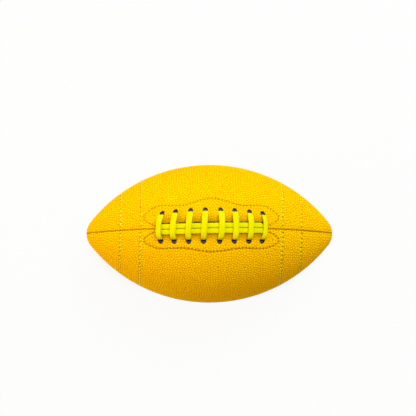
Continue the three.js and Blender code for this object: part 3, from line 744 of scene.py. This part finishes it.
wovenLook = {
    "surface": {"Roughness": 0.9, "Specular IOR Level": 0.15, "Sheen Weight": 0.2},
    "bump": (0.6, 0.3),
    "threads": (300.0, 110.0, 1.0), "unevenness": 0.4,
    "tones": [(0.0, srgb(178, 142, 84)), (0.7, srgb(242, 224, 178))],
}
facingLook = {
    "surface": {"Roughness": 0.42, "Specular IOR Level": 0.5},
    "bump": (0.3, 0.2),
    "cloud": (260.0, 3.0), "fineScale": 1500.0,
    "tones": [(0.3, srgb(56, 54, 84)), (0.7, srgb(98, 100, 132))],
}
rubberLook = {
    "surface": {"Roughness": 0.6, "Specular IOR Level": 0.4},
    "gloss": [(0.3, 0.5), (0.7, 0.72)],
    "bump": (0.2, 0.2),
    "cloud": (90.0, 4.0), "fineScale": 1200.0,
    "tones": [(0.3, srgb(26, 26, 29)), (0.75, srgb(46, 46, 50))],
}


def wovenMaterial(name, look):
    mat = startMaterial(name, look)
    values = {"Vector": sheetCoords(mat, look["threads"]), "Scale": 1.0, "Distortion": look["unevenness"]}
    waves = [addNode(mat, "ShaderNodeTexWave", values, bands_direction=way).outputs["Fac"] for way in "XY"]
    weave = mathOf(mat, "MULTIPLY", *waves)
    return coat(mat, look, rampOf(mat, weave, look["tones"]), weave)


def cloudyMaterial(name, look):
    # two tones in soft clouds
    mat = startMaterial(name, look)
    cloud = noiseOf(mat, *look["cloud"])
    fine = noiseOf(mat, look["fineScale"])
    return coat(mat, look, rampOf(mat, cloud, look["tones"]), fine, cloud)


woven = wovenMaterial("woven_lining", wovenLook)
darkFacing = cloudyMaterial("dark_facing", facingLook)
rubber = cloudyMaterial("black_rubber", rubberLook)

# linings: one behind each panel, torn at the left lip of the slit
lining = {
    "top": 2.5, "bottom": 3.5, "reach": 0.94, "margin": 0.3,
    "cellsAlong": 240, "cellsAcross": 40,
    "holeMargin": 0.9, "punch": (-3, 9, 24),
    "tornSeed": 5, "tornRun": (46, 52), "tornLength": 6.0, "tornStart": 3.7, "tornShare": (0.12, 0.26),
    "tornRise": (-1.2, 0.4), "tornInset": 0.7, "tornSlant": 0.004, "tornThickness": 0.3,
}


def tearEdge(points, x, slit):
    # the ragged edge turns up here and there
    dice = random.Random(lining["tornSeed"])
    ragged = [noise.noise(Vector((spot / lining["tornLength"], lining["tornStart"], 0.0))) for spot in x]
    shown = easeIn(*lining["tornShare"], np.array(ragged)) * (1 - easeIn(*lining["tornRun"], np.abs(x)))
    rise = np.array([dice.uniform(*lining["tornRise"]) for spot in x])
    edge = angleFor(x, lipReach(x, slit) - lining["tornInset"])
    last = points.shape[1] - 1
    under = (last - 1, edge + lining["tornSlant"], rise + lining["tornThickness"])
    for column, phi, depth in ((0, edge, rise), (last, edge, rise), under):
        points[:, column] = blendTo(points[:, column], onBall(x, phi, depth), shown[:, None])


for name, start, sign, slit in panels:
    x = placesAlong(lining["reach"], lining["cellsAlong"])
    edges = []
    for reach in (slit, 0):
        gap, _, _, thickness = panelEdge(x, reach)
        edges.append(angleFor(x, gap + thickness + lining["margin"], lining["bottom"]))
    low, high = start + sign * edges[0], start + sign * (quarter - edges[1])
    points = layerPoints(x, low, high, lining)
    if sign > 0 and slit:
        tearEdge(points, x, slit)
    piece = wrapSheet("lining_cloth_" + name, points)
    holes, holeRadius = holesIn(name, sign, slit)
    if holes:
        wide = holeRadius + lining["holeMargin"]
        cutWith(piece, [addPunch(*hole, wide, *lining["punch"]) for hole in holes])
    finishPiece(piece, woven, "lining", "lining_" + name)

# facings: their holes hug the lace, so they show dark in the punched holes
facing = {
    "top": 3.8, "bottom": 5.0, "margin": 4, "tipReach": 6,
    "inner": {1: 7.2, -1: 5.4}, "innerAtSlitEnd": 3.0, "slitEnd": 61,
    "cellsAlong": 180, "cellsAcross": 24,
    "holeInset": 1.2, "holeRadius": 1.9, "punch": (1, 9, 20),
}
for side, sign in (("left", 1), ("right", -1)):
    shoulder, crest, end = sewing["shoulder"][sign], sewing["crest"][sign], sewing["halfLength"]
    margin, tip = facing["margin"], facing["tipReach"]
    x = np.linspace(-end - margin, end + margin, facing["cellsAlong"] + 1)
    places = [0, 0.4 * end, 0.77 * end, end, end + margin]
    outer = np.interp(np.abs(x), places, [crest, shoulder, shoulder, 0.5 * shoulder + margin, tip]) + margin
    inner = [facing["inner"][sign], facing["innerAtSlitEnd"], tip]
    inner = np.interp(np.abs(x), [0, facing["slitEnd"], end + margin], inner)
    low, high = sign * angleFor(x, inner, facing["top"]), sign * angleFor(x, outer, facing["top"])
    piece = wrapSheet("facing_strip_" + side, layerPoints(x, low, high, facing))
    spots = holeSpots(sign, facing["holeInset"])
    cutWith(piece, [addPunch(*spot, facing["holeRadius"], *facing["punch"]) for spot in spots])
    finishPiece(piece, darkFacing, "facing", "facing_" + side)

tongue = {"top": 8.1, "bottom": 9.3, "halfLength": 62, "reach": 22.0, "cellsAlong": 120, "cellsAcross": 36}
x = np.linspace(-tongue["halfLength"], tongue["halfLength"], tongue["cellsAlong"] + 1)
half = angleFor(x, tongue["reach"], tongue["bottom"])
piece = wrapSheet("tongue_piece", layerPoints(x, -half, half, tongue))
finishPiece(piece, darkFacing, "facing", "tongue")
print("linings, facings and tongue laid in")

# bladder: pressed against the linings, dented by flanges and tongue
bladder = {
    "depth": 3.9, "wall": 0.9, "reach": 0.955,
    "seamDepth": 5.4, "seamWidth": 5,
    "tongueDepth": 9.7, "tongueAcross": (24, 38), "tongueAlong": (64, 92),
    "cellsAlong": 140, "cellsRound": 120,
}


def bladderSkin(inset):
    x = placesAlong(bladder["reach"], bladder["cellsAlong"])
    radius = radiusAt(x)
    rows = []
    for turn in np.linspace(0, 4 * quarter, bladder["cellsRound"] + 1):
        fromSeam = np.minimum(np.abs(radius * np.sin(turn)), np.abs(radius * np.cos(turn)))
        dent = (bladder["seamDepth"] - bladder["depth"]) * np.exp(-((fromSeam / bladder["seamWidth"]) ** 4))
        across = np.abs(radius * math.sin(turn)) if math.cos(turn) > 0 else np.full_like(x, farAway)
        under = (bladder["tongueDepth"] - bladder["depth"]) * (1 - easeIn(*bladder["tongueAcross"], across))
        under *= 1 - easeIn(*bladder["tongueAlong"], np.abs(x))
        rows.append(onBall(x, turn, bladder["depth"] + np.maximum(dent, under) + inset))
    return np.stack(rows, 1)


piece = wrapSheet("bladder_shell", bladderSkin(0))
hollow = wrapSheet("hollow", bladderSkin(bladder["wall"]))
punch = addPunch(0.0, valve["angle"], stemHole, *valve["punch"])
cutWith(piece, [hollow])
cutWith(piece, [punch])
finishPiece(piece, rubber, "bladder", "bladder")


def turnedPiece(name, profile, sides):
    # spun round the valve's axis: pairs of radius and depth
    points = [(radius, 0, -depth) for radius, depth in profile]
    piece = addMesh(name, points, [(i, i + 1) for i in range(len(profile) - 1)], [])
    startEdit()
    bpy.ops.mesh.spin(steps=sides, angle=2 * math.pi, center=(0, 0, 0), axis=(0, 0, 1), use_auto_merge=True)
    bpy.ops.mesh.select_all(action="SELECT")
    bpy.ops.mesh.remove_doubles(threshold=weldDistance)
    faceOutwards()
    standOnSkin(piece, 0.0, valve["angle"])
    bpy.ops.object.shade_smooth_by_angle(angle=valve["sharpAngle"])
    return piece


bodyProfile = [
    (1.4, 0.9), (1.55, 0.62), (2.2, 0.55), (2.7, 0.4), (3.05, 0.5), (3.2, 0.8),
    (3.2, 5.4), (3.6, 5.7), (6.6, 5.7), (7.0, 6.0), (7.0, 6.9), (6.6, 7.2),
    (1.8, 7.2), (1.4, 6.9), (1.4, 0.9),
]
coreProfile = [
    (0.0, 1.5), (0.3, 1.35), (0.55, 1.0), (0.95, 0.95), (1.1, 1.15), (1.1, 6.8), (0.9, 7.0), (0.0, 7.0),
]
finishPiece(turnedPiece("valve_body_turned", bodyProfile, 48), rubber, "valve", "valve_body")
finishPiece(turnedPiece("valve_core_turned", coreProfile, 36), rubber, "valve", "valve_core")
print("bladder and valve fitted")

# stitches: a short twisted length of thread between each pair of needle holes
thread = {
    "radius": 0.52, "sides": 6, "rings": 8, "taper": 0.35,
    "lift": 0.28, "dive": 0.75,
    "twists": 1.6, "ply": 0.12,
    "shortening": 0.1, "wander": 0.06,
}


def singleStitch():
    # along x from -0.5 to 0.5, height and width in millimetres
    points, faces = [], []
    sides = thread["sides"]
    for ring, t in enumerate(np.linspace(-1, 1, thread["rings"])):
        fat = thread["radius"] * (1 - thread["taper"] * abs(t) ** 3)
        rise = thread["lift"] * (1 - t**2) - thread["dive"] * abs(t) ** 5
        for spoke in range(sides):
            turn = 2 * math.pi * spoke / sides
            ply = 1 - thread["ply"] + thread["ply"] * math.cos(2 * turn - 2 * math.pi * thread["twists"] * t)
            points.append((t / 2, fat * ply * math.cos(turn), rise + fat * ply * math.sin(turn)))
            if ring:
                here, there = ring * sides + spoke, (ring - 1) * sides + spoke
                after = (spoke + 1) % sides - spoke
                faces.append((there, there + after, here + after, here))
    last = (thread["rings"] - 1) * sides
    faces.append(tuple(range(sides)))
    faces.append(tuple(range(last + sides - 1, last - 1, -1)))
    return np.array(points), faces


stitchPoints, stitchFaces = singleStitch()


def sewRow(name, mat, spans, normals, fatness):
    # spans are pairs of needle holes at the thread's depth
    points, faces, shades = [], [], []
    dice = random.Random(len("stitches_" + name) + len(spans))
    for (a, b), normal in zip(spans, normals):
        run = b - a
        length = np.linalg.norm(run)
        ahead = run / length
        up = unit(normal - ahead * np.dot(normal, ahead))
        aside = np.cross(up, ahead)
        spot = (a + b) / 2 + aside * dice.uniform(-thread["wander"], thread["wander"])
        local = stitchPoints * np.array([length - thread["shortening"], fatness, fatness])
        base = len(points)
        points.extend(spot + local @ np.stack([ahead, aside, up]))
        faces.extend(tuple(base + i for i in face) for face in stitchFaces)
        shades.extend([dice.random()] * len(stitchPoints))
    piece = addMesh("stitches_" + name, points, [], faces)
    startEdit()
    faceOutwards()
    bpy.ops.object.shade_smooth()
    storeValues(piece, shade=shades)
    finishPiece(piece, mat, "thread", "thread_" + name)


threadLook = {
    "surface": {"Roughness": 0.6, "Specular IOR Level": 0.3, "Specular Tint": (1.0, 0.8, 0.1, 1.0)},
    "bump": (0.3, 0.1),
    "fibreScale": 2600.0, "shading": (0.35, 0.9),
}


def threadMaterial(name, dark, light, look=threadLook):
    mat = startMaterial(name, look)
    fibre = noiseOf(mat, look["fibreScale"])
    shade = mathOf(mat, "ADD", fibre, valueOf(mat, "shade"))
    tones = list(zip(look["shading"], (srgb(*dark), srgb(*light))))
    return coat(mat, look, rampOf(mat, shade, tones), fibre)


stripeThread = threadMaterial("stripe_thread", (184, 186, 12), (216, 218, 44))
# the right row's thread is darker: painted shade, that row lies on the shaded side
facingThread = {
    1: threadMaterial("facing_thread_left", (178, 140, 14), (216, 178, 34)),
    -1: threadMaterial("facing_thread_right_shaded", (154, 108, 6), (198, 146, 18)),
}
seamThread = threadMaterial("seam_thread", (150, 98, 0), (196, 138, 4))


def rowSpans(knots, ends, depth):
    # from each knot to the next one's end
    starts, stops = onBall(knots[:-1, 0], knots[:-1, 1], depth), onBall(ends[1:, 0], ends[1:, 1], depth)
    middles = (knots[:-1] + ends[1:]) / 2
    return list(zip(starts, stops)), outward(middles[:, 0], middles[:, 1])


for side, sign in (("left", 1), ("right", -1)):
    knots = facingRows[sign]
    row = rowSpans(knots, knots, sewing["facingDepth"])
    sewRow("facing_" + side, facingThread[sign], *row, sewing["facingFatness"])
    slip = sewing["stripeSlip"]
    for index, knots in enumerate(stripeRows[sign], 1):
        ends = slipped(knots, sewing["stripeReturn"] * slip)
        row = rowSpans(slipped(knots, -slip), ends, sewing["stripeDepth"])
        sewRow(f"stripe_{side}_{index}", stripeThread, *row, sewing["stripeFatness"])

# seam stitches bridge the valley between two rolled edges
seamSewing = {"half": 0.8, "tipShare": 0.08, "slant": 0.35, "depth": 0.85, "fatness": 0.5, "tipMargin": 5.0}
seamRuns = [  # 0 runs on to the tip
    ("front", 0.0, slitEnd, 0),
    ("back", 0.0, 0, -slitEnd),
    ("left", quarter, 0, 0),
    ("right", -quarter, 0, 0),
    ("base", 2 * quarter, 0, 0),
]
for name, phi, low, high in seamRuns:
    low = float(runTo(low)) if low else seamSewing["tipMargin"] - halfArc
    high = float(runTo(high)) if high else halfArc - seamSewing["tipMargin"]
    count = round((high - low) / cover["seamPitch"])
    x = placeAlong(np.linspace(low, high, count + 1))
    turn = angleFor(x, np.minimum(seamSewing["half"], seamSewing["tipShare"] * radiusAt(x)))
    slant, depth = seamSewing["slant"], seamSewing["depth"]
    spans = list(zip(onBall(x - slant, phi - turn, depth), onBall(x + slant, phi + turn, depth)))
    normals = outward(x, np.full_like(x, phi))
    sewRow("seam_" + name, seamThread, spans, normals, seamSewing["fatness"])
print("rows and seams sewn")

# lace: one flat length in a spiral, both ends along the slit under the crosses
lace = {
    "thickness": 1.8, "width": {1: 6.9, -1: 5.7}, "widthMiddle": 6.0, "foldedWidth": 3.7,
    "innerDepth": 6.4, "innerWidth": 4.7,
    "crossRise": 3.35, "bend": {1: 1.45, -1: 2.0}, "twistFrom": 4,
    "strandWidth": 5.2, "strandRise": 1.05, "strandEdge": 6.3, "strandGap": 0.14,
    "strandShift": -0.4, "strandDrift": 0.016,
    "strandSteps": 24, "strandStart": 0.6, "strandStop": 2.2,
    "divePlace": 0.4, "diveGap": 0.28, "diveWidth": 2.8,
    "step": 0.7, "smoothings": 3, "grooves": 0.13,
}


def meridian(x, phi):
    return unit(onBall(x + 0.5, phi) - onBall(x - 0.5, phi))


def legReach(x, sign):
    return float(holeReach(x, sign)) - lacing["legInset"][sign]


def crossStops(index):
    middle = lace["widthMiddle"] * lacing["spreads"][index]
    edge, rise, folded = lace["strandEdge"], lace["crossRise"], lace["foldedWidth"]
    halves = []
    for sign in (-1, 1):
        x = holePlace(index, sign)
        reach, bend = legReach(x, sign), lace["bend"][sign]
        width = lace["width"][sign] * lacing["spreads"][index]
        # up through the hole and over the strands: offset, depth, width
        line = [
            (reach, lace["innerDepth"], folded),
            (reach + 0.1, 3.2, folded),
            (reach, 0.6, folded),
            (reach - 0.25, 0.75 - bend, 0.5 * (folded + width)),
            (reach - 1.3, -bend, 0.94 * width),
            (blendTo(reach, edge, 0.45), -blendTo(bend, rise, 0.34), width),
            (edge + 0.4, -rise + 0.3, blendTo(width, middle, 0.6)),
            (edge - 1.4, -rise, middle),
        ]
        half = []
        for offset, depth, wide in line:
            share = min(1.0, offset / reach)
            place = blendTo(crossPlaces[index], x, share) + lacing["bows"][index] * (1 - share**3)
            phi = sign * float(angleFor(place, offset))
            twist = min(1, max(0, (offset - lace["twistFrom"]) / (reach - lace["twistFrom"])))
            roll = sign * lacing["twists"][index] * math.sin(math.pi * twist)
            side = meridian(place, phi) * math.cos(roll) + outward(place, phi) * math.sin(roll)
            half.append((onBall(place, phi, depth), side, wide))
        halves.append(half)
    bowed = crossPlaces[index] + lacing["bows"][index]
    top = (onBall(bowed, 0.0, -rise - 0.12), meridian(bowed, 0.0), middle)
    return [*halves[0], top, *halves[1][::-1]]


def innerStops(index):
    # under the slit, from a left hole to the next right one
    ends = []
    for i, sign in ((index, 1), (index + 1, -1)):
        x = holePlace(i, sign)
        ends.append((x, sign * float(angleFor(x, legReach(x, sign)))))
    stops = []
    for share in (0.2, 0.35, 0.5, 0.65, 0.8):
        x, phi = (blendTo(first, second, share) for first, second in zip(*ends))
        stops.append((onBall(x, phi, lace["innerDepth"]), meridian(x, phi), lace["innerWidth"]))
    return stops


def tailStops(sign):
    # along the slit, then on edge and down through it under the last cross
    start, stop = -sign * (lastCross + lace["strandStart"]), sign * (lastCross - lace["strandStop"])
    stops = []
    for x in np.linspace(start, stop, lace["strandSteps"]):
        drift = lace["strandShift"] + lace["strandDrift"] * x
        phi = float(angleFor(x, drift + sign * (lace["strandGap"] + lace["strandWidth"] / 2)))
        stops.append((onBall(x, phi, -lace["strandRise"]), acrossAt(phi), lace["strandWidth"]))
    dive = sign * (lastCross + lace["divePlace"])
    phi = float(angleFor(dive, sign * (lace["diveGap"] + lace["diveWidth"] / 2)))
    # share of the way to the dive, depth, share of a quarter turn
    drop = [(0.9, 0.3 - lace["strandRise"], 0.0), (1.0, 0.6, 0.33), (1.0, 2.2, 0.66), (1.0, 4.4, 1.0)]
    drop.append((1.0, lace["innerDepth"], 1.0))
    for share, depth, turned in drop:
        x = blendTo(stop, dive, share)
        side = acrossAt(phi) * math.cos(turned * quarter) + meridian(x, phi) * math.sin(turned * quarter)
        stops.append((onBall(x, phi, depth), side, lace["diveWidth"]))
    return stops


def evenPath(stops):
    # stops are place, side and width: even steps, then a little smoothing
    points, sides, widths = (np.array(column) for column in zip(*stops))
    run = lengthsAlong(points)
    even = np.linspace(0, run[-1], int(run[-1] / lace["step"]))
    path = np.stack([np.interp(even, run, column) for column in [*points.T, *sides.T, widths]], -1)
    for turn in range(lace["smoothings"]):
        path[1:-1] = 0.25 * path[:-2] + 0.5 * path[1:-1] + 0.25 * path[2:]
    return path[:, :3], path[:, 3:6], path[:, 6], run[-1]


def laceSection(width):
    # half-round edges, two fine grooves on top
    a, b = width / 2, lace["thickness"] / 2
    groove = 1 - lace["grooves"] / b
    top = [(-1.0, 0.25), (-0.95, 0.7), (-0.84, 0.94), (-0.6, 1.0), (-0.42, 1.0), (-0.34, groove)]
    top += [(-0.26, 1.02), (0.0, 1.04)]
    top += [(-share, level) for share, level in top[-2::-1]]
    under = [(1.0, -0.25), (0.9, -0.8), (0.6, -1.0), (0.0, -1.0), (-0.6, -1.0), (-0.9, -0.8), (-1.0, -0.25)]
    return np.array([(share * a, level * b) for share, level in top + under])


def lacePoints():
    stops = tailStops(-1)
    for index in range(len(crossPlaces)):
        stops += crossStops(index)
        if index + 1 < len(crossPlaces):
            stops += innerStops(index)
    stops += tailStops(1)[::-1]
    points, sides, widths, length = evenPath(stops)
    ahead = unit(np.gradient(points, axis=0))
    sides = unit(sides - ahead * np.sum(sides * ahead, axis=1)[:, None])
    rises = np.cross(ahead, sides)  # outwards on every cross
    rings = []
    for point, side, rise, width in zip(points, sides, rises, widths):
        ring = laceSection(width)
        rings.append(point + ring[:, :1] * side + ring[:, 1:] * rise)
    rings = np.array(rings)
    return np.concatenate([rings, rings[:, :1]], 1), length


laceLook = {
    "surface": {
        "Roughness": 0.4, "Specular IOR Level": 0.5, "IOR": 1.25, "Specular Tint": (1.0, 0.95, 0.05, 1.0),
    },
    "gloss": [(0.3, 0.46), (0.7, 0.32)],
    "bump": (0.25, 0.3),
    "streaks": (30.0, 130.0, 1.0),
    "tones": [(0.3, srgb(210, 200, 0)), (0.62, srgb(223, 214, 0))],
    "cloudScale": 70.0, "clouds": [(0.35, 0.3), (0.65, 0.0)], "cloudTone": srgb(202, 194, 0),
}


def laceMaterial(look):
    mat = startMaterial("lace_leather", look)
    streak = noiseOf(mat, 1.0, 3.0, sheetCoords(mat, look["streaks"]))
    cloud = noiseOf(mat, look["cloudScale"], 3.0)
    colour = rampOf(mat, streak, look["tones"])
    colour = blendColours(mat, rampOf(mat, cloud, look["clouds"]), colour, look["cloudTone"])
    return coat(mat, look, colour, streak, streak)


points, laceLength = lacePoints()
piece = wrapSheet("lace_length", points)
finishPiece(piece, laceMaterial(laceLook), "lace", "lace")
print("lace laced,", round(laceLength), "mm long")

# floor, light and camera, in metres
stage = {
    "floor": 12.0,
    "surface": {"Base Color": grey(0.6), "Roughness": 0.9, "Specular IOR Level": 0.0},
    "floorSquash": (0.5, 1.0, 1.0),
    "floorGlow": [(0.0, 0.1), (0.064, 0.94), (0.3, 0.94), (1.0, 1.0)],
    "world": 0.555,
    "skyTone": (1.0, 0.72, 0.53, 1.0),
    "lampTarget": (0, 0, 0.07),
    "lamps": [  # place, size, power, colour
        ("key_lamp", (0.5, 0.95, 1.65), 1.2, 30.5, (0.74, 1.0, 1.0)),
        ("side_lamp", (-1.6, -0.1, 0.7), 1.2, 16.5, (1.0, 0.94, 0.85)),
        ("top_lamp", (-0.6, 0.4, 2.1), 2.4, 6.4, (1.0, 0.78, 0.62)),
        ("fill_lamp", (1.2, 1.4, 1.0), 1.2, 7.5, (0.8, 1.0, 1.0)),
    ],
    "distance": 3.0, "frameWidth": 0.4299, "framePixels": 416,
    "tilt": (2.0, 5.5), "shift": (1.5, 25.8),  # degrees, pixels
    "sensor": 36.0, "clipEnd": 20.0,
}


def seenRays(owner):
    # 1 for what the camera sees, 0 for light
    path = addNode(owner, "ShaderNodeLightPath").outputs
    seen = mathOf(owner, "MAXIMUM", path["Is Camera Ray"], path["Is Glossy Ray"])
    return mathOf(owner, "MAXIMUM", seen, path["Is Transmission Ray"])


floor = added(bpy.ops.mesh.primitive_plane_add, size=stage["floor"])
floor.name = "floor"
paper = startMaterial("white_floor", stage)
# whiter away from the ball, full shadow right under it
values = {"Vector": objectCoords(paper), "Scale": stage["floorSquash"]}
shrunk = addNode(paper, "ShaderNodeMapping", values).outputs["Vector"]
apart = addNode(paper, "ShaderNodeVectorMath", {0: shrunk}, operation="LENGTH").outputs["Value"]
white = rampOf(paper, apart, stage["floorGlow"])
share = mathOf(paper, "MULTIPLY", seenRays(paper), white)
glow = addNode(paper, "ShaderNodeEmission", {"Color": grey(1), "Strength": 1.0})
mixed = addNode(paper, "ShaderNodeMixShader", {0: share, 1: shaderOf(paper).outputs[0], 2: glow.outputs[0]})
link(paper, mixed.outputs[0], paper.node_tree.nodes["Material Output"].inputs["Surface"])
floor.data.materials.append(paper)

world = bpy.data.worlds.new("studio")
bpy.context.scene.world = world
world.use_nodes = True
sky = world.node_tree.nodes["Background"]
seen = seenRays(world)
level = addNode(world, "ShaderNodeMapRange", {"Value": seen, "To Min": stage["world"], "To Max": 1.0})
link(world, level.outputs["Result"], sky.inputs["Strength"])
link(world, blendColours(world, seen, stage["skyTone"], grey(1)), sky.inputs["Color"])

for name, place, size, power, colour in stage["lamps"]:
    lamp = added(bpy.ops.object.light_add, type="AREA", location=place)
    lamp.name = name
    lamp.data.size = size
    lamp.data.energy = power
    lamp.data.color = colour
    lamp.rotation_euler = (Vector(stage["lampTarget"]) - Vector(place)).to_track_quat("-Z", "Y").to_euler()

camera = added(bpy.ops.object.camera_add)
leftTilt, lowTilt = (math.sin(math.radians(angle)) for angle in stage["tilt"])
towards = Vector((-leftTilt, -lowTilt, 1.0)).normalized()
right = (Vector((1, 0, 0)) - towards * towards.x).normalized()
up = towards.cross(right)
shiftRight, shiftUp = (pixels * stage["frameWidth"] / stage["framePixels"] for pixels in stage["shift"])
spot = Vector((0, 0, axisHeight * mm)) - right * shiftRight + up * shiftUp + towards * stage["distance"]
camera.matrix_world = Matrix.Translation(spot) @ Matrix((right, up, towards)).transposed().to_4x4()
camera.data.sensor_width = stage["sensor"]
camera.data.lens = stage["sensor"] * stage["distance"] / stage["frameWidth"]
camera.data.clip_end = stage["clipEnd"]
bpy.context.scene.camera = camera
bpy.context.scene.view_settings.view_transform = "Standard"
print("floor, lamps and camera set")
